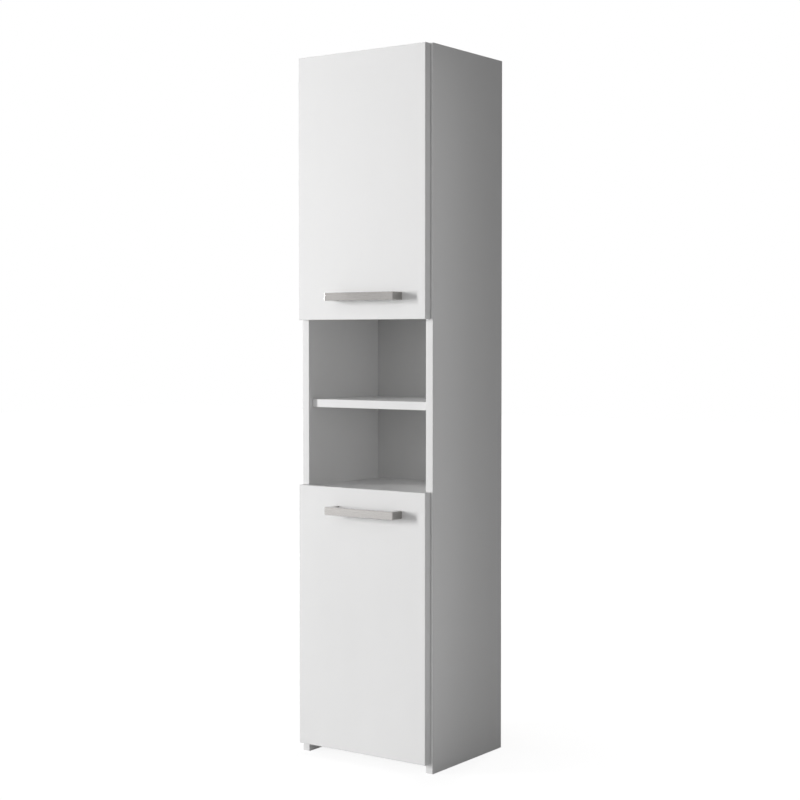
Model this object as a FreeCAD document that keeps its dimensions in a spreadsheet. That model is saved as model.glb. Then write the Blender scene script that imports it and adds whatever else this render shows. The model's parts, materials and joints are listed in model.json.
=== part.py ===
import FreeCAD, Part
import os
import re

import Sketcher
from FreeCAD import Placement, Rotation, Vector

# Tall bathroom cabinet: two hinged doors, above and below an open niche.
# Millimetres, +Z up, front towards -Y, origin on the floor under the middle of the cabinet.

# Driving dimensions: name, value, what it measures.
SIZES = [
    # carcass
    ("cabinet_width", 310, "outside width over the two side panels"),
    ("cabinet_height", 1363, "height of the side panels"),
    ("carcass_depth", 243, "depth of the side panels"),
    ("board", 16, "thickness of the carcass boards and shelves"),
    ("edge_round", 1, "rounding along visible front edges"),
    ("back_thickness", 3, "thickness of the back panel"),
    ("back_inset", 9, "rear edge of the carcass to the back panel's groove"),
    ("groove_depth", 8, "depth of the back panel's groove"),
    ("groove_play", 0.2, "gap between the back panel and its groove, all round"),
    # doors
    ("door_reveal", 5, "side edges of a door inside those of the carcass"),
    ("door_height", 510, "height of each door"),
    ("door_thickness", 16, "thickness of each door"),
    ("door_gap", 2, "gap between a closed door and the carcass"),
    ("lower_door_bottom", 19, "lower edge of the lower door above the floor"),
    ("door_top_gap", 1, "upper edge of the upper door below the top of the carcass"),
    ("edge_cover", 3, "how far a door stands past the board whose edge it covers"),
    # shelves
    ("niche_shelf_rise", 155, "niche's floor to the underside of its shelf"),
    ("niche_shelf_setback", 11, "front of the niche shelf behind the carcass front"),
    ("inner_shelf_rise", 226, "a cupboard's floor to the underside of its shelf"),
    ("inner_shelf_setback", 20, "front of a cupboard's shelf behind the carcass front"),
    ("shelf_play", 0.5, "gap between a loose shelf and the panels round it"),
    # shelf pins
    ("pin_diameter", 5, "diameter of a shelf pin's stem"),
    ("pin_hole_depth", 10, "depth of a pin hole"),
    ("pin_stem", 8, "length of a pin's stem"),
    ("pin_nose", 9, "length of a pin's nose, in a recess under the shelf's end"),
    ("pin_nose_width", 7, "width of a pin's nose"),
    ("pin_flat", 3, "top of a pin's nose, on which the shelf lies, above the pin's axis"),
    ("pin_nose_drop", 3, "underside of a pin's nose, level with the shelf's, below the pin's axis"),
    ("recess_play", 0.3, "gap round a pin's nose in its recess"),
    ("pin_setback", 37, "front row of pins behind the carcass front"),
    ("pin_row_spacing", 160, "front row of pins to the rear row"),
    ("hole_play", 0.1, "width of a hole beyond the pin, dowel or cup in it"),
    # glued dowels in the ends of the four fixed boards
    ("dowel_setback", 50, "front dowel behind the carcass front"),
    ("dowel_spacing", 144, "front dowel to rear dowel"),
    ("dowel_diameter", 8, "diameter of a dowel over its corners"),
    ("dowel_length", 30, "length of a dowel"),
    ("dowel_in_side", 10, "length of a dowel inside the side panel"),
    # hinges, two to a door, each with one steel pin in the thickness of the door
    ("hinge_setback", 100, "hinge below or above the end of its door"),
    ("pivot_inset", 5.8, "hinge pin's axis behind the door's hinge edge"),
    ("pivot_depth", 10, "hinge pin's axis inside the door, from its back face"),
    ("hinge_pin_diameter", 2.2, "diameter of a hinge pin"),
    ("hinge_pin_length", 14.8, "length of a hinge pin"),
    ("hinge_pin_play", 0.05, "radial gap between a hinge pin and the arm's eye"),
    ("eye_wall", 0.65, "wall of the arm's eye round its pin"),
    ("cup_diameter", 35, "diameter of a cup's bore in the door"),
    ("cup_depth", 13, "depth of a cup's bore in the door"),
    ("cup_edge", 3, "wood between a cup's bore and the door's hinge edge"),
    ("cup_wall", 0.8, "sheet thickness of a cup"),
    ("flange_thickness", 1, "thickness of a cup's flange on the door's back face"),
    ("flange_rear", 2, "how far a cup's flange stands past its bore, away from the door's edge"),
    ("flange_neck", 26, "height of a cup's flange at the door's edge"),
    ("flange_tail", 40, "height of a cup's flange at its other end"),
    ("ear_height", 57, "height of a cup's flange over its ears"),
    ("ear_offset", 9.5, "cup's axis to the middle of its ears"),
    ("ear_width", 13, "width of a cup's ears"),
    ("window_height", 11, "opening in a cup's wall for the arm"),
    ("lug_play", 0.2, "gap between the arm's eye and the cup's lug above or below it"),
    ("lug_thickness", 3, "thickness of the cup's two lugs, which hold the hinge pin"),
    ("lug_width", 5.5, "width of a lug from the cup's wall inwards"),
    ("lug_top", 7, "lugs below the door's back face"),
    ("arm_width", 10, "height of the arm's sheet"),
    ("arm_thickness", 2, "sheet thickness of an arm"),
    ("neck_reach", 12.8, "hinge pin's axis to the inner face of the arm's web"),
    ("neck_bend", 3, "outside radius where the arm's neck turns into its web"),
    ("arm_wall", 1.5, "thickness of the arm's two side walls"),
    ("arm_wall_depth", 5, "depth of the arm's side walls"),
    ("arm_wall_start", 8, "front of the arm's side walls behind the carcass front"),
    ("arm_tail", 18, "rear end of an arm behind the middle of its plate"),
    ("plate_setback", 37, "middle of a mounting plate behind the carcass front"),
    ("plate_height", 44, "height of a mounting plate"),
    ("plate_base", 2, "thickness of a plate's wings"),
    ("plate_wing", 12, "width of a plate's wings"),
    ("plate_waist", 18, "width of a plate's wings at the rib"),
    ("rib_play", 0.2, "gap between the plate's rib and the arm's side walls"),
    ("rib_length", 36, "length of the plate's rib"),
    # handles
    ("handle_length", 160, "length of a handle"),
    ("handle_offset", 17, "middle of a handle beside the middle of its door"),
    ("handle_edge", 43.5, "middle of a handle from the door's edge at the niche"),
    ("handle_height", 15, "height of a handle's bar"),
    ("handle_projection", 31, "front of a handle's bar before the door"),
    ("handle_bar", 9, "thickness of a handle's bar"),
    ("handle_leg", 12, "width of a handle's legs"),
    ("handle_corner", 1.2, "rounding of a handle's outer corners"),
    ("handle_chamfer", 0.5, "chamfer along a handle's outer edges"),
    ("handle_inner_corner", 2.5, "rounding between a handle's bar and legs"),
    # door bumpers
    ("bumper_diameter", 8, "diameter of a door bumper"),
    ("bumper_height", 1.7, "height of a door bumper in the door's gap"),
    ("bumper_margin", 25, "bumper from the door's upper or lower edge"),
    # wall brackets
    ("bracket_spacing", 120, "left bracket's hole to the right bracket's"),
    ("bracket_width", 20, "width of a wall bracket"),
    ("bracket_leg", 38, "length of both legs of a wall bracket"),
    ("bracket_thickness", 2, "sheet thickness of a wall bracket"),
    ("bracket_bend", 3, "outside radius of a wall bracket's bend"),
    ("bracket_hole", 6, "diameter of the wall screw's hole"),
    ("bracket_hole_drop", 24, "wall screw's hole below the top panel"),
]

# Lengths that follow from the driving ones.
FOLLOWS = {
    "inner_width": "cabinet_width - 2 * board",
    "inner_x": "cabinet_width / 2 - board",
    "door_width": "cabinet_width - 2 * door_reveal",
    "rear_y": "(carcass_depth + door_gap + door_thickness + handle_projection) / 2",
    "front_y": "rear_y - carcass_depth",
    "door_back_y": "front_y - door_gap",
    "door_front_y": "door_back_y - door_thickness",
    "groove_width": "back_thickness + 2 * groove_play",
    "groove_front": "carcass_depth - back_inset - groove_width",
    "back_front": "groove_front + groove_play",
    "upper_door_bottom": "cabinet_height - door_top_gap - door_height",
    "lower_door_top": "lower_door_bottom + door_height",
    "top_panel_z": "cabinet_height - board",
    "upper_fixed_shelf_z": "upper_door_bottom + edge_cover",
    "lower_fixed_shelf_z": "lower_door_top - edge_cover - board",
    "bottom_panel_z": "lower_door_bottom + edge_cover",
    "cup_x": "cup_edge + cup_diameter / 2",
    "eye": "hinge_pin_diameter / 2 + hinge_pin_play + eye_wall",
    "pivot_x": "pivot_inset - door_width / 2",
    "pivot_y": "door_back_y - pivot_depth",
    "carcass_from_pivot": "pivot_depth + door_gap",
    "plate_from_pivot": "carcass_from_pivot + plate_setback",
    "rib_height": "pivot_inset + neck_reach - (board - door_reveal)",
    "rib_width": "arm_width - 2 * arm_wall - 2 * rib_play",
    "bumper_x": "door_width - (board - door_reveal) / 2",
}

ALIASES = [name for name, value, meaning in SIZES]
WORD = re.compile(r"[a-z][a-z_]+")

doc = FreeCAD.newDocument("tall_bathroom_cabinet")
sheet = doc.addObject("Spreadsheet::Sheet", "Sizes")
for row, (name, value, meaning) in enumerate(SIZES, 1):
    sheet.set(f"A{row}", name)
    sheet.set(f"B{row}", str(value))
    sheet.set(f"C{row}", meaning)
    sheet.setAlias(f"B{row}", name)
doc.recompute()


def formula(length):
    """A length given in the words above, as an expression on the sheet."""

    def cell(match):
        word = match.group()
        if word in FOLLOWS:
            return "(" + formula(FOLLOWS[word]) + ")"
        return "Sizes." + word if word in ALIASES else word

    return WORD.sub(cell, str(length))


def number(length):
    """The present value of a length given in words."""
    return float(sheet.evalExpression(formula(length)))


def bind(thing, place, length):
    thing.setExpression(place, formula(length))


def new_body(label, x=0, y=0, z=0):
    body = doc.addObject("PartDesign::Body", label)
    for axis, length in zip("xyz", (x, y, z)):
        bind(body, f"Placement.Base.{axis}", length)
    return body


def origin_item(body, role):
    return next(item for item in body.Origin.OriginFeatures if item.Role == role)


def new_sketch(body, plane, offset=0):
    sketch = body.newObject("Sketcher::SketchObject", f"{body.Name}_sketch")
    sketch.AttachmentSupport = [(origin_item(body, plane), "")]
    sketch.MapMode = "FlatFace"
    bind(sketch, "AttachmentOffset.Base.z", offset)
    return sketch


def hold(sketch, constraint, length):
    """Adds a constraint whose value follows a length given in words."""
    index = sketch.addConstraint(constraint)
    bind(sketch, f"Constraints[{index}]", length)


def polygon(sketch, corners):
    """A closed outline, each corner held by its two distances from the sketch's origin."""
    spots = [Vector(number(x), number(y), 0) for x, y in corners]
    first = sketch.GeometryCount
    for spot, following in zip(spots, spots[1:] + spots[:1]):
        sketch.addGeometry(Part.LineSegment(spot, following))
    for step, (corner, spot) in enumerate(zip(corners, spots)):
        line, following = first + step, first + (step + 1) % len(corners)
        sketch.addConstraint(Sketcher.Constraint("Coincident", line, 2, following, 1))
        hold(sketch, Sketcher.Constraint("DistanceX", -1, 1, line, 1, spot.x), corner[0])
        hold(sketch, Sketcher.Constraint("DistanceY", -1, 1, line, 1, spot.y), corner[1])


def rectangle(sketch, left, bottom, right, top):
    polygon(sketch, [(left, bottom), (right, bottom), (right, top), (left, top)])


def circle(sketch, x, y, diameter):
    spot, radius = Vector(number(x), number(y), 0), number(diameter) / 2
    ring = sketch.addGeometry(Part.Circle(spot, Vector(0, 0, 1), radius))
    hold(sketch, Sketcher.Constraint("DistanceX", -1, 1, ring, 3, spot.x), x)
    hold(sketch, Sketcher.Constraint("DistanceY", -1, 1, ring, 3, spot.y), y)
    hold(sketch, Sketcher.Constraint("Radius", ring, radius), f"({diameter}) / 2")


def octagon(sketch, x, y, over_corners):
    """Stands in for a circle where a fitting or its bore is hidden and repeated."""
    polygon(sketch, [
        (f"({x}) + ({over_corners}) / 2 * cos({angle})", f"({y}) + ({over_corners}) / 2 * sin({angle})")
        for angle in range(0, 360, 45)
    ])


def pad(body, sketch, length, both_ways=False, back=False):
    feature = body.newObject("PartDesign::Pad", f"{body.Name}_pad")
    feature.Profile = sketch
    feature.Midplane = both_ways
    feature.Reversed = back
    bind(feature, "Length", length)
    return feature


def pocket(body, sketch, depth, both_ways=False, back=False):
    """Cuts against the sketch's normal, or along it if back is set."""
    feature = body.newObject("PartDesign::Pocket", f"{body.Name}_pocket")
    feature.Profile = sketch
    feature.Midplane = both_ways
    feature.Reversed = back
    bind(feature, "Length", depth)
    return feature


def eased(body, kind, measure, length, chosen):
    """Eases the edges of the body's last feature whose middle and direction are chosen."""
    doc.recompute()
    base = body.Tip
    names = []
    for count, edge in enumerate(base.Shape.Edges, 1):
        ends = edge.Vertexes
        if edge.Curve.TypeId != "Part::GeomLine" or len(ends) < 2:
            continue
        run = (ends[1].Point - ends[0].Point).normalize()
        if chosen((ends[0].Point + ends[1].Point) / 2, run):
            names.append(f"Edge{count}")
    if not names:
        raise RuntimeError(f"{body.Label}: no edge to ease")
    feature = body.newObject(f"PartDesign::{kind}", f"{body.Name}_{kind.lower()}")
    feature.Base = (base, names)
    bind(feature, measure, length)


def rounded(body, radius, chosen):
    eased(body, "Fillet", "Radius", radius, chosen)


def chamfered(body, size, chosen):
    eased(body, "Chamfer", "Size", size, chosen)


def near(first, second):
    return abs(first - second) < 1e-4


def group(label, prototype, places):
    """One node of separate alike solids; places holds (x, y, z) lengths and a rotation."""
    copies = []
    for place, rotation in places:
        copy = doc.addObject("App::Link", f"{label}_copy")
        copy.LinkedObject = prototype
        copy.Placement = Placement(Vector(), rotation)
        for axis, length in zip("xyz", place):
            bind(copy, f"Placement.Base.{axis}", length)
        copies.append(copy)
    node = doc.addObject("Part::Compound", label)
    node.Links = copies
    return node


AS_DRAWN = Rotation()
HALF_TURN = Rotation(Vector(0, 0, 1), 180)
SIDES = (-1, 1)

nodes = []

# ---------------------------------------------------------------- places of the fittings

DOWEL_ROWS = ["dowel_setback", "dowel_setback + dowel_spacing"]
PIN_ROWS = ["pin_setback", "pin_setback + pin_row_spacing"]

FIXED_BOARDS = {
    # label: (underside, which face has the back panel's groove)
    "top_panel": ("top_panel_z", "lower"),
    "upper_fixed_shelf": ("upper_fixed_shelf_z", None),
    "lower_fixed_shelf": ("lower_fixed_shelf_z", None),
    "bottom_panel": ("bottom_panel_z", "upper"),
}
LOOSE_SHELVES = {
    # label: (underside, setback)
    "niche_shelf": ("lower_fixed_shelf_z + board + niche_shelf_rise", "niche_shelf_setback"),
    "upper_shelf": ("upper_fixed_shelf_z + board + inner_shelf_rise", "inner_shelf_setback"),
    "lower_shelf": ("bottom_panel_z + board + inner_shelf_rise", "inner_shelf_setback"),
}
DOORS = {
    # name: (lower edge, height of the handle inside the door)
    "upper": ("upper_door_bottom", "handle_edge"),
    "lower": ("lower_door_bottom", "door_height - handle_edge"),
}
HINGE_HEIGHTS = ["hinge_setback", "door_height - hinge_setback"]


DOWEL_HEIGHTS = [f"{underside} + board / 2" for underside, groove in FIXED_BOARDS.values()]
PIN_HEIGHTS = [f"{underside} + pin_nose_drop" for underside, setback in LOOSE_SHELVES.values()]


# ---------------------------------------------------------------- carcass


def side_panel(label, side):
    """Upright board; its groove and bores are on the inner face, at the body's own x = 0."""
    body = new_body(label, f"{side} * inner_x", "front_y", 0)
    outer, groove = f"{side} * board", f"{side} * groove_depth"
    outline = new_sketch(body, "XY_Plane")
    polygon(outline, [
        (0, 0), (0, "groove_front"), (groove, "groove_front"),
        (groove, "groove_front + groove_width"), (0, "groove_front + groove_width"),
        (0, "carcass_depth"), (outer, "carcass_depth"), (outer, 0),
    ])
    pad(body, outline, "cabinet_height")
    rounded(body, "edge_round", lambda middle, run: near(middle.y, 0) and near(abs(run.z), 1))

    for rows, heights, over_corners, depth in (
        (DOWEL_ROWS, DOWEL_HEIGHTS, "dowel_diameter + hole_play", "dowel_in_side + hole_play"),
        (PIN_ROWS, PIN_HEIGHTS, "(pin_diameter + hole_play) / cos(22.5)", "pin_hole_depth"),
    ):
        bores = new_sketch(body, "YZ_Plane")
        for y in rows:
            for z in heights:
                octagon(bores, y, z, over_corners)
        pocket(body, bores, depth, back=side > 0)
    return body


nodes.append(side_panel("left_side_panel", -1))
nodes.append(side_panel("right_side_panel", 1))


def fixed_board(label, underside, groove):
    """Level board between the sides, with the bores for the dowels in its ends."""
    body = new_body(label, 0, "front_y", underside)
    rear = "carcass_depth" if groove else "groove_front"
    corners = [(0, 0), (rear, 0), (rear, "board"), (0, "board")]
    groove_rear = "groove_front + groove_width"
    if groove == "lower":
        corners[1:1] = [("groove_front", 0), ("groove_front", "groove_depth"),
                        (groove_rear, "groove_depth"), (groove_rear, 0)]
    if groove == "upper":
        corners[3:3] = [(groove_rear, "board"), (groove_rear, "board - groove_depth"),
                        ("groove_front", "board - groove_depth"), ("groove_front", "board")]
    outline = new_sketch(body, "YZ_Plane")
    polygon(outline, corners)
    pad(body, outline, "inner_width", both_ways=True)
    for side in SIDES:
        bores = new_sketch(body, "YZ_Plane", f"{side} * inner_width / 2")
        for y in DOWEL_ROWS:
            octagon(bores, y, "board / 2", "dowel_diameter + hole_play")
        pocket(body, bores, "dowel_length - dowel_in_side + hole_play", back=side < 0)
    return body


for label, facts in FIXED_BOARDS.items():
    nodes.append(fixed_board(label, *facts))

back = new_body("back_panel", 0, "front_y + back_front + back_thickness", 0)
sheet_outline = new_sketch(back, "XZ_Plane")
back_half = "inner_width / 2 + groove_depth - groove_play"
rectangle(sheet_outline, f"-({back_half})", "bottom_panel_z + board - groove_depth + groove_play",
          back_half, "top_panel_z + groove_depth - groove_play")
pad(back, sheet_outline, "back_thickness")
wall_holes = new_sketch(back, "XZ_Plane")
for side in SIDES:
    circle(wall_holes, f"{side} * bracket_spacing / 2", "top_panel_z - bracket_hole_drop", "bracket_hole")
pocket(back, wall_holes, "back_thickness", back=True)
nodes.append(back)


def loose_shelf(label, underside, setback):
    """Shelf with a recess in the underside of its ends for the nose of each pin."""
    body = new_body(label, 0, f"front_y + {setback}", underside)
    outline = new_sketch(body, "XY_Plane")
    half = "inner_width / 2 - shelf_play"
    rectangle(outline, f"-({half})", 0, half, f"back_front - {setback} - shelf_play")
    pad(body, outline, "board")
    rounded(body, "edge_round", lambda middle, run: near(middle.y, 0) and near(abs(run.x), 1))
    recesses = new_sketch(body, "XY_Plane")
    recess_half = "(pin_nose_width / 2 + recess_play)"
    for y in PIN_ROWS:
        edges = (f"{y} - {setback} - {recess_half}", f"{y} - {setback} + {recess_half}")
        rectangle(recesses, "-inner_x", edges[0], "pin_nose + recess_play - inner_x", edges[1])
        rectangle(recesses, "inner_x - pin_nose - recess_play", edges[0], "inner_x", edges[1])
    pocket(body, recesses, "pin_nose_drop + pin_flat", back=True)
    return body


for label, (underside, setback) in LOOSE_SHELVES.items():
    nodes.append(loose_shelf(label, underside, setback))

# ---------------------------------------------------------------- carcass fittings

# Shelf pin along X: a stem in the side panel and a square nose in the shelf's recess.
shelf_pin = new_body("shelf_pin")
stem = new_sketch(shelf_pin, "YZ_Plane")
circle(stem, 0, 0, "pin_diameter")
pad(shelf_pin, stem, "pin_stem", back=True)
nose = new_sketch(shelf_pin, "YZ_Plane")
rectangle(nose, "-pin_nose_width / 2", "-pin_nose_drop", "pin_nose_width / 2", "pin_flat")
pad(shelf_pin, nose, "pin_nose")
for label, (underside, setback) in LOOSE_SHELVES.items():
    nodes.append(group(f"{label}_pins", shelf_pin, [
        ((f"{side} * inner_x", f"front_y + {y}", f"{underside} + pin_nose_drop"),
         HALF_TURN if side > 0 else AS_DRAWN)
        for side in SIDES for y in PIN_ROWS
    ]))

# Dowel along X, with its shorter end inside the side panel.
dowel = new_body("dowel")
dowel_outline = new_sketch(dowel, "YZ_Plane", "-dowel_in_side")
octagon(dowel_outline, 0, 0, "dowel_diameter")
pad(dowel, dowel_outline, "dowel_length")
nodes.append(group("dowels", dowel, [
    ((f"{side} * inner_x", f"front_y + {y}", z), HALF_TURN if side > 0 else AS_DRAWN)
    for side in SIDES for y in DOWEL_ROWS for z in DOWEL_HEIGHTS
]))

# Wall bracket: an angle of sheet steel under the top panel and down the back panel.
bracket = new_body("wall_bracket")
angle = new_sketch(bracket, "YZ_Plane")
polygon(angle, [
    (0, 0), ("-bracket_leg", 0), ("-bracket_leg", "-bracket_thickness"),
    ("-bracket_thickness", "-bracket_thickness"), ("-bracket_thickness", "-bracket_leg"),
    (0, "-bracket_leg"),
])
pad(bracket, angle, "bracket_width", both_ways=True)
rounded(bracket, "bracket_bend", lambda middle, run: (
    near(abs(run.x), 1) and near(middle.y, 0) and near(middle.z, 0)))
rounded(bracket, "bracket_bend - bracket_thickness", lambda middle, run: (
    near(abs(run.x), 1) and near(middle.y, -number("bracket_thickness"))
    and near(middle.z, -number("bracket_thickness"))))
wall_hole = new_sketch(bracket, "XZ_Plane")
circle(wall_hole, 0, "-bracket_hole_drop", "bracket_hole")
pocket(bracket, wall_hole, "bracket_thickness", back=True)
nodes.append(group("wall_brackets", bracket, [
    ((f"{side} * bracket_spacing / 2", "front_y + back_front", "top_panel_z"), AS_DRAWN)
    for side in SIDES
]))

# ---------------------------------------------------------------- hinges

# Mounting plate on the side panel's inner face (x = 0): two tapering wings and a rib for the
# arm, from the plate's middle.
plate = new_body("hinge_plate")
wings = new_sketch(plate, "YZ_Plane")
polygon(wings, [
    ("-plate_wing / 2", "-plate_height / 2"), ("plate_wing / 2", "-plate_height / 2"),
    ("plate_waist / 2", "-rib_width / 2"), ("plate_waist / 2", "rib_width / 2"),
    ("plate_wing / 2", "plate_height / 2"), ("-plate_wing / 2", "plate_height / 2"),
    ("-plate_waist / 2", "rib_width / 2"), ("-plate_waist / 2", "-rib_width / 2"),
])
pad(plate, wings, "plate_base")
rib = new_sketch(plate, "YZ_Plane")
rectangle(rib, "-rib_length / 2", "-rib_width / 2", "rib_length / 2", "rib_width / 2")
pad(plate, rib, "rib_height")

# Arm, in plan from the hinge pin (0, 0): an eye round the pin, a neck that leads out of the
# cup past the door's edge, and a straight web with two side walls that straddle the plate's rib.
arm = new_body("hinge_arm")
strip = new_sketch(arm, "XY_Plane")
web_outer, arm_end = "neck_reach + arm_thickness", "plate_from_pivot + arm_tail"
polygon(strip, [
    (0, "-arm_thickness / 2"), (web_outer, "-arm_thickness / 2"), (web_outer, arm_end),
    ("neck_reach", arm_end), ("neck_reach", "arm_thickness / 2"), (0, "arm_thickness / 2"),
])
pad(arm, strip, "arm_width", both_ways=True)
rounded(arm, "neck_bend", lambda middle, run: (
    near(abs(run.z), 1) and near(middle.x, number(web_outer)) and middle.y < 0))
rounded(arm, "neck_bend - arm_thickness", lambda middle, run: (
    near(abs(run.z), 1) and near(middle.x, number("neck_reach"))
    and near(middle.y, number("arm_thickness / 2"))))
eye_outline = new_sketch(arm, "XY_Plane")
circle(eye_outline, 0, 0, "2 * eye")
pad(arm, eye_outline, "arm_width", both_ways=True)
eye_bore = new_sketch(arm, "XY_Plane")
circle(eye_bore, 0, 0, "hinge_pin_diameter + 2 * hinge_pin_play")
pocket(arm, eye_bore, "2 * arm_width", both_ways=True)
wall_start = "carcass_from_pivot + arm_wall_start"
for outline_of, width in ((pad, "arm_width"), (pocket, "arm_width - 2 * arm_wall")):
    walls = new_sketch(arm, "XY_Plane")
    rectangle(walls, "neck_reach - arm_wall_depth", wall_start, "neck_reach", arm_end)
    outline_of(arm, walls, width, both_ways=True)

# Cup, from its axis on the door's back face (y = 0): a pressed pot with a flange that widens
# into two ears, a window for the arm on the side of the door's edge, and lugs for the pin.
cup = new_body("hinge_cup")
pot = new_sketch(cup, "XZ_Plane")
circle(pot, 0, 0, "cup_diameter - hole_play")
pad(cup, pot, "cup_depth - hole_play")
flange = new_sketch(cup, "XZ_Plane")
flange_half = [
    ("-cup_diameter / 2", "flange_neck / 2"), ("ear_offset - ear_width / 2", "ear_height / 2"),
    ("ear_offset + ear_width / 2", "ear_height / 2"), ("cup_diameter / 2 + flange_rear", "flange_tail / 2"),
]
polygon(flange, flange_half + [(x, f"-{z}") for x, z in reversed(flange_half)])
pad(cup, flange, "flange_thickness", back=True)
hollow = new_sketch(cup, "XZ_Plane", "-flange_thickness")
circle(hollow, 0, 0, "cup_diameter - hole_play - 2 * cup_wall")
pocket(cup, hollow, "flange_thickness + cup_depth - hole_play - cup_wall", back=True)
window = new_sketch(cup, "XZ_Plane", "-flange_thickness")
rectangle(window, "-cup_diameter", "-window_height / 2", "-cup_diameter / 3", "window_height / 2")
pocket(cup, window, "flange_thickness + cup_depth - hole_play - cup_wall", back=True)
lugs = new_sketch(cup, "XZ_Plane", "lug_top")
lug_near = "(arm_width / 2 + lug_play)"
for end in SIDES:
    edges = (f"{end} * {lug_near}", f"{end} * ({lug_near} + lug_thickness)")
    rectangle(lugs, "-cup_diameter / 2", edges[0], "lug_width - cup_diameter / 2", edges[1])
pad(cup, lugs, "cup_depth - hole_play - lug_top")
shave = new_sketch(cup, "XZ_Plane")
circle(shave, 0, 0, "cup_diameter - hole_play")
circle(shave, 0, 0, "2 * cup_diameter")
pocket(cup, shave, "cup_depth", back=True)
pin_bores = new_sketch(cup, "XY_Plane")
circle(pin_bores, "pivot_inset - cup_x", "-pivot_depth", "hinge_pin_diameter")
pocket(cup, pin_bores, "hinge_pin_length", both_ways=True)

hinge_pin = doc.addObject("Part::Cylinder", "hinge_pin")
bind(hinge_pin, "Radius", "hinge_pin_diameter / 2")
bind(hinge_pin, "Height", "hinge_pin_length")

for door, (lower_edge, handle_z) in DOORS.items():
    heights = [f"{lower_edge} + {height}" for height in HINGE_HEIGHTS]
    for name, prototype, x, y, drop in (
        ("hinge_plates", plate, "-inner_x", "front_y + plate_setback", 0),
        ("hinge_arms", arm, "pivot_x", "pivot_y", 0),
        ("hinge_cups", cup, "cup_x - door_width / 2", "door_back_y", 0),
        ("hinge_pins", hinge_pin, "pivot_x", "pivot_y", "hinge_pin_length / 2"),
    ):
        nodes.append(group(f"{door}_{name}", prototype, [
            ((x, y, f"{z} - {drop}"), AS_DRAWN) for z in heights]))

# ---------------------------------------------------------------- doors, handles, bumpers


def door_panel(label, lower_edge):
    """Door board, from the foot of its hinge edge on its back face."""
    body = new_body(label, "-door_width / 2", "door_back_y", lower_edge)
    outline = new_sketch(body, "XZ_Plane")
    rectangle(outline, 0, 0, "door_width", "door_height")
    pad(body, outline, "door_thickness")
    rounded(body, "edge_round", lambda middle, run: near(middle.y, -number("door_thickness")))
    bores = new_sketch(body, "XZ_Plane")
    for z in HINGE_HEIGHTS:
        circle(bores, "cup_x", z, "cup_diameter")
    pocket(body, bores, "cup_depth", back=True)
    return body


def handle(label, height):
    """Square bow, from the middle between its legs on the door's front face."""
    body = new_body(label, "handle_offset", "door_front_y", height)
    outline = new_sketch(body, "XY_Plane")
    end, leg = "handle_length / 2", "(handle_length / 2 - handle_leg)"
    inside = "handle_bar - handle_projection"
    polygon(outline, [
        (f"-{end}", 0), (f"-{end}", "-handle_projection"), (end, "-handle_projection"), (end, 0),
        (leg, 0), (leg, inside), (f"-{leg}", inside), (f"-{leg}", 0),
    ])
    pad(body, outline, "handle_height", both_ways=True)
    rounded(body, "handle_corner", lambda middle, run: (
        near(abs(run.z), 1) and near(middle.y, -number("handle_projection"))))
    rounded(body, "handle_inner_corner", lambda middle, run: (
        near(abs(run.z), 1) and near(middle.y, number(inside))))
    chamfered(body, "handle_chamfer", lambda middle, run: (
        near(abs(run.x), 1) and near(middle.y, -number("handle_projection"))))
    return body


# Bumper: a soft disc on the door's back face.
bumper = new_body("bumper")
disc = new_sketch(bumper, "XZ_Plane")
circle(disc, 0, 0, "bumper_diameter")
pad(bumper, disc, "bumper_height", back=True)

for door, (lower_edge, handle_z) in DOORS.items():
    nodes.append(door_panel(f"{door}_door_panel", lower_edge))
    nodes.append(handle(f"{door}_handle", f"{lower_edge} + {handle_z}"))
    nodes.append(group(f"{door}_door_bumpers", bumper, [
        (("bumper_x - door_width / 2", "door_back_y", f"{lower_edge} + {z}"), AS_DRAWN)
        for z in ("bumper_margin", "door_height - bumper_margin")]))

# ---------------------------------------------------------------- checks and files

doc.recompute()
for item in doc.Objects:
    if "Invalid" in item.State or "Error" in item.State:
        raise RuntimeError(f"{item.Label} failed: {item.State}")
    if item.TypeId in ("PartDesign::Pocket", "PartDesign::Pad") and item.BaseFeature:
        change = item.Shape.Volume - item.BaseFeature.Shape.Volume
        if (change > 0) != (item.TypeId == "PartDesign::Pad") or near(change, 0):
            raise RuntimeError(f"{item.Label} changed the volume by {change:.3f}")

os.makedirs("parts", exist_ok=True)
for node in nodes:
    if node.Shape.isNull() or not node.Shape.isValid():
        raise RuntimeError(f"{node.Label} has no valid shape")
    node.Shape.exportStep(f"parts/{node.Label}.step")
    print(f"{node.Label}: {len(node.Shape.Solids)} solids, {node.Shape.Volume / 1000:.2f} cm3")
print(f"{len(nodes)} nodes")
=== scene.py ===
import json
import math

import bpy
import numpy as np
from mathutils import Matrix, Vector


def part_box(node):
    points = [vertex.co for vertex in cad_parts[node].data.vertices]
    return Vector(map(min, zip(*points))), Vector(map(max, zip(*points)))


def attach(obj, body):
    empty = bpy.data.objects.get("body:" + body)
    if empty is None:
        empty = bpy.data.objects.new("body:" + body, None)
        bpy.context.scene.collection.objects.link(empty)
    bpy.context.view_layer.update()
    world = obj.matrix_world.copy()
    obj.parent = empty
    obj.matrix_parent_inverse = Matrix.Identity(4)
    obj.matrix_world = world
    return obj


# Looks of the tall bathroom cabinet: satin white boards with banded edges, brushed nickel
# handles, pressed steel fittings, and the small screws that the solids leave out.
# Metres, +Z up, the doors face -Y, their hinges are on the -X side.

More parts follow.
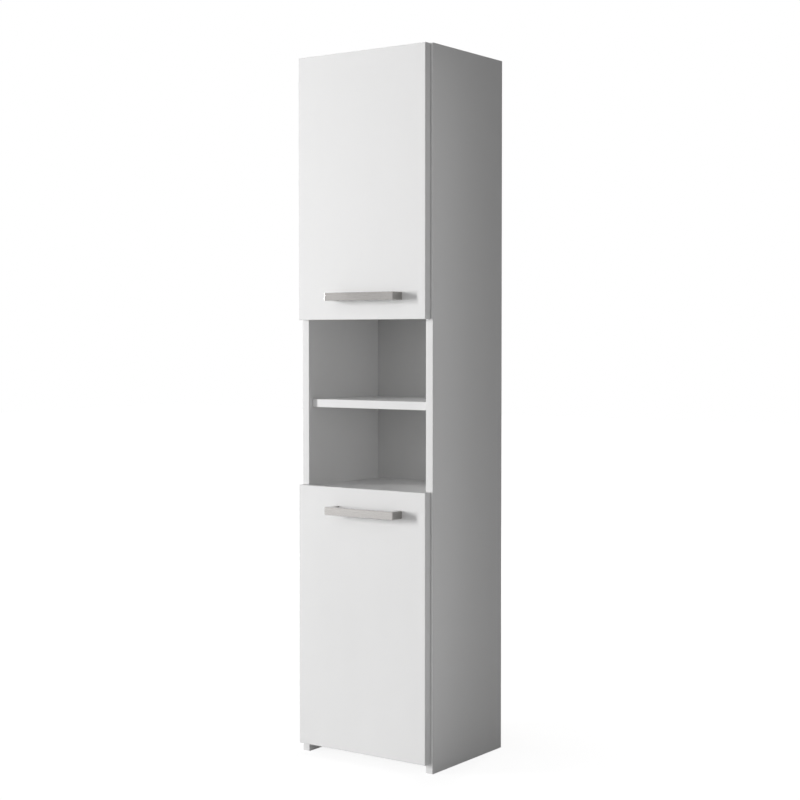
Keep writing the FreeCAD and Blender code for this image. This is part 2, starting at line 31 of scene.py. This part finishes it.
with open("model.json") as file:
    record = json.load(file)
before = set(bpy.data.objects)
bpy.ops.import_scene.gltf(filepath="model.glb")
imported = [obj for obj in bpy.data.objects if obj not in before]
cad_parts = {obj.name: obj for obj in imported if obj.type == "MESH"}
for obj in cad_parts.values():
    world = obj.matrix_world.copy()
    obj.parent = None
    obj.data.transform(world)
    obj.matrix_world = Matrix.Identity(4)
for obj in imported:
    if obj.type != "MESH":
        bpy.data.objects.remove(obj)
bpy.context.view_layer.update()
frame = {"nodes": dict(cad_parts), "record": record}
MM = 0.001
UP, DOWN, REARWARD, RIGHTWARD = (0, 0, 1), (0, 0, -1), (0, 1, 0), (1, 0, 0)
DOORS = ("upper", "lower")
SIDES = (-1, 1)

# ---------------------------------------------------------------- places read from the frame


def low(node):
    return np.array(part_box(node)[0])


def high(node):
    return np.array(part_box(node)[1])


CARCASS_FRONT, CARCASS_REAR = low("left_side_panel")[1], high("left_side_panel")[1]
DOOR_BACK = high("upper_door_panel")[1]

# ---------------------------------------------------------------- shader expressions


class Value:
    """A shader socket with arithmetic; each operation on it adds one Math node."""

    def __init__(self, finish, socket):
        self.finish = finish
        self.socket = socket

    def maths(self, operation, *inputs):
        return self.finish.add("ShaderNodeMath", {"operation": operation}, inputs)

    def __add__(self, other):
        return self.maths("ADD", self, other)

    def __sub__(self, other):
        return self.maths("SUBTRACT", self, other)

    def __rsub__(self, other):
        return self.maths("SUBTRACT", other, self)

    def __mul__(self, other):
        return self.maths("MULTIPLY", self, other)

    def __abs__(self):
        return self.maths("ABSOLUTE", self)

    __radd__ = __add__
    __rmul__ = __mul__

    def above(self, level):
        return self.maths("GREATER_THAN", self, level)

    def larger(self, other):
        return self.maths("MAXIMUM", self, other)

    def smaller(self, other):
        return self.maths("MINIMUM", self, other)

    def rise(self, start, end):
        """0 at start and before, 1 at end and after, smooth between them."""
        return self.finish.add("ShaderNodeMapRange", {"interpolation_type": "SMOOTHSTEP"},
                               [self, start, end, 0.0, 1.0])

    def line(self, place, width):
        """1 within a thin line at place, 0 beside it."""
        return 1 - abs(self - place).rise(0.3 * width, 0.7 * width)


class Finish:
    """A material in the making: a Principled BSDF, and the nodes that feed it."""

    def __init__(self, name):
        self.material = bpy.data.materials.new(name)
        self.begin(self.material, "ShaderNodeBsdfPrincipled", "ShaderNodeOutputMaterial")

    def begin(self, owner, surface, output):
        """Empty the node tree of owner, and link a new surface to a new output."""
        owner.use_nodes = True
        self.tree = owner.node_tree
        self.tree.nodes.clear()
        self.surface = self.tree.nodes.new(surface)
        self.tree.links.new(self.surface.outputs[0], self.tree.nodes.new(output).inputs[0])

    def put(self, socket, value):
        if isinstance(value, Value):
            self.tree.links.new(value.socket, socket)
        else:
            socket.default_value = value

    def add(self, kind, settings=None, inputs=(), output=0):
        """One node: its settings first, then its inputs by place or by name."""
        node = self.tree.nodes.new(kind)
        for name, setting in (settings or {}).items():
            setattr(node, name, setting)
        for place, value in inputs.items() if isinstance(inputs, dict) else enumerate(inputs):
            self.put(node.inputs[place], value)
        return Value(self, node.outputs[output])

    def spot(self, stretch=(1, 1, 1)):
        """Object coordinates, squeezed along each axis by stretch."""
        coordinates = self.add("ShaderNodeTexCoord", output="Object")
        return self.add("ShaderNodeMapping", {}, {"Vector": coordinates, "Scale": stretch})

    def axes(self, kind="Object"):
        """The x, y and z of the place, or of the surface's own normal."""
        coordinates = self.add("ShaderNodeTexCoord", output=kind)
        return [self.add("ShaderNodeSeparateXYZ", {}, [coordinates], output=axis) for axis in "XYZ"]

    def noise(self, scale, detail=2.0, roughness=0.5, stretch=(1, 1, 1)):
        return self.add("ShaderNodeTexNoise", {}, {
            "Vector": self.spot(stretch), "Scale": scale, "Detail": detail, "Roughness": roughness})

    def chips(self, scale, stretch=(1, 1, 1)):
        """A random tone for each cell of a crazed pattern."""
        cells = self.add("ShaderNodeTexVoronoi", {},
                         {"Vector": self.spot(stretch), "Scale": scale}, output="Color")
        return self.add("ShaderNodeSeparateColor", {}, [cells])

    def mix(self, share, first, second):
        """The first colour where share is 0, the second where it is 1."""
        return self.add("ShaderNodeMix", {"data_type": "RGBA"}, {0: share, 6: first, 7: second}, 2)

    def bump(self, height, strength, distance):
        return self.add("ShaderNodeBump", {},
                        {"Strength": strength, "Distance": distance, "Height": height})

    def done(self, **sockets):
        for name, value in sockets.items():
            self.put(self.surface.inputs[name.replace("_", " ")], value)
        return self.material


def grey(level, warmth=0.0):
    """A linear colour from a screen level of 0 to 1; warmth lifts red and lowers blue."""
    linear = ((level + 0.055) / 1.055) ** 2.4
    return (linear * (1 + warmth), linear, linear * (1 - warmth), 1.0)


# ---------------------------------------------------------------- finishes

EDGE_BAND = 1.3 * MM  # a face to the seam of the edge band on it
SEAM = 0.16 * MM
SKIN = 0.2 * MM  # a point this near to a face is on it
FACING = 0.9  # a face looks along an axis where its normal's share of it is above this
PALE_CHIP, DARK_CHIP = (0.62, 0.48, 0.31, 1), (0.3, 0.2, 0.11, 1)
PALE_FIBRE, DARK_FIBRE = (0.38, 0.24, 0.13, 1), (0.19, 0.105, 0.052, 1)
PALE_BEECH, DARK_FLECK = (0.58, 0.37, 0.19, 1), (0.38, 0.21, 0.1, 1)


def satin_film(coat, level):
    """Colour, roughness and relief of a smooth white film on board."""
    cloud = coat.noise(scale=6.0, detail=3.0, stretch=(1, 1, 0.4)).rise(0.3, 0.7)
    pebbles = coat.noise(scale=1500.0, roughness=0.55)
    colour = coat.mix(cloud, grey(level - 0.006, 0.002), grey(level + 0.004, 0.002))
    return colour, 0.4 + 0.06 * cloud + 0.06 * pebbles, pebbles


def raw_chipboard(coat):
    """Colour of a sawn chipboard edge: pale and darker chips in a dusty matrix."""
    chips = coat.chips(scale=700.0, stretch=(1, 1, 0.5))
    dust = coat.noise(scale=900.0, detail=3.0, roughness=0.7)
    return coat.mix((chips + dust * 0.9).rise(0.2, 1.5), DARK_CHIP, PALE_CHIP)


def white_board():
    """Film-faced chipboard: front edges banded, rear edges and feet left as sawn."""
    coat = Finish("film_faced_chipboard")
    colour, roughness, pebbles = satin_film(coat, level=0.91)
    _, y, z = coat.axes()
    _, face_y, face_z = coat.axes("Normal")
    seam = y.line(CARCASS_FRONT + EDGE_BAND, SEAM) * abs(face_y).rise(0.8, 0.2)
    sawn_rear = y.above(CARCASS_REAR - SKIN) * face_y.above(FACING)
    sawn_foot = (1 - z.above(SKIN)) * (0 - face_z).above(FACING)
    sawn = sawn_rear.larger(sawn_foot)
    return coat.done(
        Base_Color=coat.mix(sawn, coat.mix(seam, colour, grey(0.6)), raw_chipboard(coat)),
        Roughness=(roughness + 0.5 * sawn).smaller(0.85),
        Specular_IOR_Level=0.25,
        Normal=coat.bump(pebbles - seam, strength=0.12, distance=0.05 * MM),
    )


def white_door():
    """Door board: satin film on both faces, a band round all four edges."""
    coat = Finish("satin_white_door")
    colour, roughness, pebbles = satin_film(coat, level=0.92)
    x, _, z = coat.axes()
    face_y = abs(coat.axes("Normal")[1])
    half_width = high("upper_door_panel")[0]
    seam = abs(x).line(half_width - EDGE_BAND, SEAM)
    for door in DOORS:
        panel = f"{door}_door_panel"
        seam = seam.larger(z.line(low(panel)[2] + EDGE_BAND, SEAM))
        seam = seam.larger(z.line(high(panel)[2] - EDGE_BAND, SEAM))
    seam = seam * face_y.above(FACING)
    return coat.done(
        Base_Color=coat.mix(seam * 0.6, colour, grey(0.7)),
        Roughness=roughness,
        Specular_IOR_Level=0.25,
        Normal=coat.bump(pebbles - seam, strength=0.1, distance=0.05 * MM),
    )


def white_back():
    """Hardboard: painted white inside the cabinet, brown and fibrous on the wall side."""
    coat = Finish("painted_hardboard")
    colour, roughness, pebbles = satin_film(coat, level=0.83)
    fibres = coat.noise(scale=260.0, detail=5.0, roughness=0.75, stretch=(1, 1, 0.5))
    blotches = coat.noise(scale=9.0, detail=3.0)
    bare = coat.axes("Normal")[1].above(0.5)
    brown = coat.mix((fibres * 0.8 + blotches * 0.4).rise(0.35, 0.85), DARK_FIBRE, PALE_FIBRE)
    return coat.done(
        Base_Color=coat.mix(bare, colour, brown),
        Roughness=(roughness + bare * 0.4).smaller(0.8),
        Normal=coat.bump(pebbles + fibres * bare, strength=0.2, distance=0.08 * MM),
    )


def brushed_nickel():
    """Satin nickel: warm grey metal, brushed along the bar and along the legs."""
    metal = Finish("brushed_nickel")
    on_leg = abs(metal.axes("Normal")[0]).rise(0.6, 0.8)
    along_bar, along_leg = (
        metal.noise(scale=4500.0, detail=3.0, roughness=0.6, stretch=stretch)
        for stretch in ((0.01, 1, 1), (1, 0.01, 1)))
    strokes = along_bar * (1 - on_leg) + along_leg * on_leg
    handled = metal.noise(scale=25.0).rise(0.35, 0.65)
    return metal.done(
        Base_Color=metal.mix(strokes.rise(0.3, 0.7), grey(0.6, 0.03), grey(0.67, 0.03)),
        Metallic=1.0,
        Roughness=0.06 + 0.04 * strokes + 0.03 * handled + 0.34 * on_leg,
        Normal=metal.bump(strokes, strength=0.2, distance=0.03 * MM),
    )


def plated_steel(name, level, roughness):
    """Pressed sheet steel, plated: bright with a faint mottle and fine drawing marks."""
    metal = Finish(name)
    mottle = metal.noise(scale=160.0, detail=3.0)
    drawn = metal.noise(scale=1100.0, stretch=(1, 1, 0.08))
    return metal.done(
        Base_Color=metal.mix(mottle.rise(0.35, 0.65), grey(level - 0.03), grey(level + 0.02, 0.01)),
        Metallic=1.0,
        Roughness=roughness + 0.14 * mottle,
        Normal=metal.bump(drawn, strength=0.1, distance=0.03 * MM),
    )


def turned_beech():
    """Plain beech: pale brown with short dark flecks along the dowel."""
    wood = Finish("turned_beech")
    grain = wood.noise(scale=500.0, detail=4.0, roughness=0.6, stretch=(0.08, 1, 1))
    return wood.done(
        Base_Color=wood.mix(grain.rise(0.35, 0.65), DARK_FLECK, PALE_BEECH),
        Roughness=0.55 + 0.2 * grain,
        Normal=wood.bump(grain, strength=0.3, distance=0.1 * MM),
    )


def soft_bumper():
    """Soft pale plastic, slightly cloudy."""
    plastic = Finish("cloudy_bumper")
    haze = plastic.noise(scale=500.0)
    return plastic.done(
        Base_Color=plastic.mix(haze.rise(0.3, 0.7), grey(0.74), grey(0.84)),
        Roughness=0.3 + 0.15 * haze,
    )


FINISHES = {
    "white_board": white_board(),
    "white_door": white_door(),
    "white_back": white_back(),
    "satin_nickel": brushed_nickel(),
    "nickel_steel": plated_steel("nickel_plated_steel", level=0.78, roughness=0.2),
    "plain_steel": plated_steel("zinc_plated_steel", level=0.7, roughness=0.3),
    "beech": turned_beech(),
    "bumper_rubber": soft_bumper(),
}


def dress(piece, slot):
    piece.data.materials.clear()
    piece.data.materials.append(FINISHES[slot])


for part in frame["record"]["subparts"]:
    dress(frame["nodes"][part["node"]], part["material_slot"])

# ---------------------------------------------------------------- screws

SCREW_RINGS, SCREW_STEPS = 15, 48
DOME_FALL, RECESS_DEPTH = 0.4, 0.7  # shares of a head's height
RECESS_HALF_WIDTH, RECESS_REACH, RECESS_WALL = 0.13, 0.62, 0.05  # shares of its radius
FIRST_TURN, NEXT_TURN = 0.4, 1.1  # radians: the first head of a piece, and each next one
SHARP_EDGE = math.radians(35)

HINGE_SETBACK = 100 * MM  # a hinge from its door's lower or upper edge
EAR_SETBACK = 30 * MM  # the screws in a cup's ears from the door's hinge side
EAR_REACH = 22.5 * MM  # a cup's middle to the screw in each ear
PLATE_WALL = 2 * MM  # the thickness of a mounting plate's wings
PLATE_REACH = 16 * MM  # a mounting plate's middle to each of its screws
ARM_SETBACKS = (9 * MM, 28 * MM)  # an arm's rear end to its screws
HANDLE_INSET = 6 * MM  # a handle's end to the screw in its leg
BRACKET_SHEET = 2 * MM  # the thickness of a wall bracket's sheet
BRACKET_REACH = 60 * MM  # the cabinet's middle to each wall bracket
BRACKET_SETBACKS = (14 * MM, 29 * MM)  # a wall bracket's rear to its screws


def screw_head(radius, height, turn):
    """A pan head with a cross recess, its seat at z = 0 and its axis along +z.

    A point is at distance r from the axis and angle a. The dome's height falls with the cube
    of r, by DOME_FALL at the rim. The recess lowers it by RECESS_DEPTH inside two crossed bars
    with sloped walls. Then the rim goes straight down to the seat, which closes at its middle.
    The whole is turned about its axis by turn.
    """
    share = np.concatenate([np.linspace(0, 1, SCREW_RINGS), [1.0, 0.0]])
    angle = np.linspace(0, 2 * np.pi, SCREW_STEPS, endpoint=False)
    r, a = np.meshgrid(share * radius, angle, indexing="ij")
    x, y = r * np.cos(a), r * np.sin(a)
    across, along = np.minimum(abs(x), abs(y)), np.maximum(abs(x), abs(y))
    wall = RECESS_WALL * radius
    recess = np.clip((RECESS_HALF_WIDTH * radius - across) / wall, 0, 1)
    recess *= np.clip((RECESS_REACH * radius - along) / wall, 0, 1)
    z = height * (1 - DOME_FALL * (r / radius) ** 3) - RECESS_DEPTH * height * recess
    z[-2:] = 0
    turned_x = x * np.cos(turn) - y * np.sin(turn)
    turned_y = x * np.sin(turn) + y * np.cos(turn)
    return np.stack([turned_x, turned_y, z], -1)


def closed_rings(grid):
    """Corners, four-sided faces and three-sided faces of a surface between two points.

    The grid's first and last rings are those points, and each is kept once. Between the other
    rings each step has one four-sided face, and round each point each step has a triangle.
    """
    rings, steps, _ = grid.shape
    corners = np.concatenate([grid[0, :1], grid[1:-1].reshape(-1, 3), grid[-1, :1]])
    step = np.arange(steps)
    following = (step + 1) % steps
    ring = 1 + steps * np.arange(rings - 3)[:, None]
    next_ring = ring + steps
    walls = np.stack([ring + step, next_ring + step, next_ring + following, ring + following], -1)
    first, last = np.zeros_like(step), np.full_like(step, len(corners) - 1)
    top = np.stack([first, 1 + step, 1 + following], -1)
    seat = np.stack([last - steps + following, last - steps + step, last], -1)
    return corners, walls.reshape(-1, 4), np.concatenate([top, seat])


def screws(name, body, slot, places, axis, radius, height):
    """One piece of alike screw heads at places, each facing along axis and turned its own way."""
    out = np.array(axis, float)
    side = np.cross(out, UP if abs(out[2]) < 0.5 else RIGHTWARD)
    side /= np.linalg.norm(side)
    basis = np.array([side, np.cross(out, side), out])
    corners, faces, count = [], [], 0
    for number, place in enumerate(places):
        head = screw_head(radius, height, FIRST_TURN + NEXT_TURN * number)
        points, walls, ends = closed_rings(head)
        corners.append(points @ basis + np.array(place))
        faces += (walls + count).tolist() + (ends + count).tolist()
        count += len(points)
    mesh = bpy.data.meshes.new(name)
    mesh.from_pydata(np.concatenate(corners).tolist(), [], faces)
    mesh.polygons.foreach_set("use_smooth", np.ones(len(mesh.polygons), bool))
    mesh.set_sharp_from_angle(angle=SHARP_EDGE)
    piece = bpy.data.objects.new(name, mesh)
    bpy.context.scene.collection.objects.link(piece)
    dress(piece, slot)
    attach(piece, body)
    return piece


for door in DOORS:
    panel, handle = f"{door}_door_panel", f"{door}_handle"
    cups, plates, arms = (f"{door}_hinge_{part}" for part in ("cups", "plates", "arms"))
    heights = (low(panel)[2] + HINGE_SETBACK, high(panel)[2] - HINGE_SETBACK)
    ear_x, flange_face = low(panel)[0] + EAR_SETBACK, high(cups)[1]
    screws(f"{door}_cup_screws", f"{door}_door", "plain_steel",
           [(ear_x, flange_face, z + side * EAR_REACH) for z in heights for side in SIDES],
           REARWARD, radius=3.6 * MM, height=0.8 * MM)
    wing_face, plate_y = low(plates)[0] + PLATE_WALL, (low(plates)[1] + high(plates)[1]) / 2
    screws(f"{door}_plate_screws", "carcass", "plain_steel",
           [(wing_face, plate_y, z + side * PLATE_REACH) for z in heights for side in SIDES],
           RIGHTWARD, radius=3.4 * MM, height=1.5 * MM)
    arm_face, arm_end = high(arms)[:2]
    screws(f"{door}_arm_screws", "carcass", "nickel_steel",
           [(arm_face, arm_end - setback, z) for z in heights for setback in ARM_SETBACKS],
           RIGHTWARD, radius=2.9 * MM, height=1.2 * MM)
    leg_places = (low(handle)[0] + HANDLE_INSET, high(handle)[0] - HANDLE_INSET)
    handle_z = (low(handle)[2] + high(handle)[2]) / 2
    screws(f"{door}_handle_screws", f"{door}_door", "plain_steel",
           [(x, DOOR_BACK, handle_z) for x in leg_places],
           REARWARD, radius=4.0 * MM, height=1.4 * MM)

_, bracket_rear, bracket_top = high("wall_brackets")
screws("bracket_screws", "carcass", "plain_steel",
       [(side * BRACKET_REACH, bracket_rear - setback, bracket_top - BRACKET_SHEET)
        for side in SIDES for setback in BRACKET_SETBACKS],
       DOWN, radius=3.6 * MM, height=1.5 * MM)

# ---------------------------------------------------------------- floor and light

FLOOR_HALF = 12.0
FLOOR_GLOW, FAR_GLOW = 0.88, 0.1  # shown strength near the cabinet, and what it gains far off
MIDDLE = (0.0, 0.0, 0.7)
SIDE_FRONT = (0.155, -0.112, 0.72)  # on the right side panel, near its front edge


def seen(finish):
    """1 for what the camera, a gloss or a clear thing shows, 0 for the light that it gives."""
    kinds = [finish.add("ShaderNodeLightPath", output=f"Is {kind} Ray")
             for kind in ("Camera", "Glossy", "Transmission")]
    return kinds[0].larger(kinds[1]).larger(kinds[2])


def pale_floor():
    """A wide plane that shows the studio's white and keeps the object's soft shadow."""
    mesh = bpy.data.meshes.new("floor")
    corners = ((-1, -1), (1, -1), (1, 1), (-1, 1))
    mesh.from_pydata([(x * FLOOR_HALF, y * FLOOR_HALF, 0) for x, y in corners], [], [(0, 1, 2, 3)])
    floor = bpy.data.objects.new("floor", mesh)
    bpy.context.scene.collection.objects.link(floor)
    paint = Finish("pale_floor")
    shown = seen(paint)
    lit = paint.mix(paint.noise(scale=3.0), grey(0.85), grey(0.87))
    x, y, _ = paint.axes()
    far = (x * x + y * y).rise(0.3, 6.0)  # in square metres
    paint.done(Base_Color=paint.mix(shown, lit, grey(0.45)), Roughness=0.9)
    paint.surface.inputs["Emission Color"].default_value = (1, 1, 1, 1)
    glow = shown * (FLOOR_GLOW + FAR_GLOW * far)
    paint.put(paint.surface.inputs["Emission Strength"], glow)
    mesh.materials.append(paint.material)


class Surroundings(Finish):
    """The world's shader, made as a finish is."""

    def __init__(self, name):
        self.world = bpy.data.worlds.new(name)
        self.begin(self.world, "ShaderNodeBackground", "ShaderNodeOutputWorld")


def white_studio(before):
    """Plain surroundings, white where they are seen; as light, only before the doors."""
    studio = Surroundings("white_studio")
    studio.put(studio.surface.inputs["Color"], (1, 1, 1, 1))
    shown = seen(studio)
    forward = 0 - studio.axes("Generated")[1]
    light = before * forward.rise(0.1, 0.9)
    studio.put(studio.surface.inputs["Strength"], shown + (1 - shown) * light)
    bpy.context.scene.world = studio.world


def softbox(name, place, target, width, height, power):
    """A rectangular lamp at place that faces target."""
    lamp = bpy.data.lights.new(name, "AREA")
    lamp.shape = "RECTANGLE"
    lamp.size, lamp.size_y = width, height
    lamp.energy = power
    box = bpy.data.objects.new(name, lamp)
    bpy.context.scene.collection.objects.link(box)
    box.location = place
    box.rotation_euler = (Vector(target) - Vector(place)).to_track_quat("-Z", "Y").to_euler()


def around(target, azimuth, elevation, distance):
    """A place seen from target, with azimuth from the doors' direction towards +X, in degrees."""
    turn, rise = math.radians(azimuth), math.radians(elevation)
    return (target[0] + distance * math.sin(turn) * math.cos(rise),
            target[1] - distance * math.cos(turn) * math.cos(rise),
            target[2] + distance * math.sin(rise))


white_studio(before=0.64)
pale_floor()
softbox("key_softbox", around(MIDDLE, azimuth=-48, elevation=5.6, distance=7.0), MIDDLE,
        width=0.8, height=2.1, power=332.0)
softbox("side_strip", around(SIDE_FRONT, azimuth=90, elevation=0, distance=0.18), SIDE_FRONT,
        width=0.04, height=1.3, power=0.24)
softbox("rear_softbox", around(MIDDLE, azimuth=-172, elevation=4, distance=4.0), MIDDLE,
        width=0.7, height=1.3, power=45.0)
softbox("top_softbox", (0, 0.02, 3.2), MIDDLE, width=0.28, height=0.2, power=16.0)

# ---------------------------------------------------------------- camera


def photograph_camera():
    """The photograph's view: from the front right, tilted a little down."""
    tilt, turn = 1.592, 35.297
    camera = bpy.data.objects.new("camera", bpy.data.cameras.new("camera"))
    bpy.context.scene.collection.objects.link(camera)
    camera.location = (1.8116, -2.5428, 0.8134)
    camera.rotation_euler = (math.radians(90 - tilt), 0, math.radians(turn))
    camera.data.sensor_width = 36.0
    camera.data.lens = 71.5
    camera.data.shift_y = -0.02
    bpy.context.scene.camera = camera


photograph_camera()
bpy.context.scene.view_settings.view_transform = "Standard"
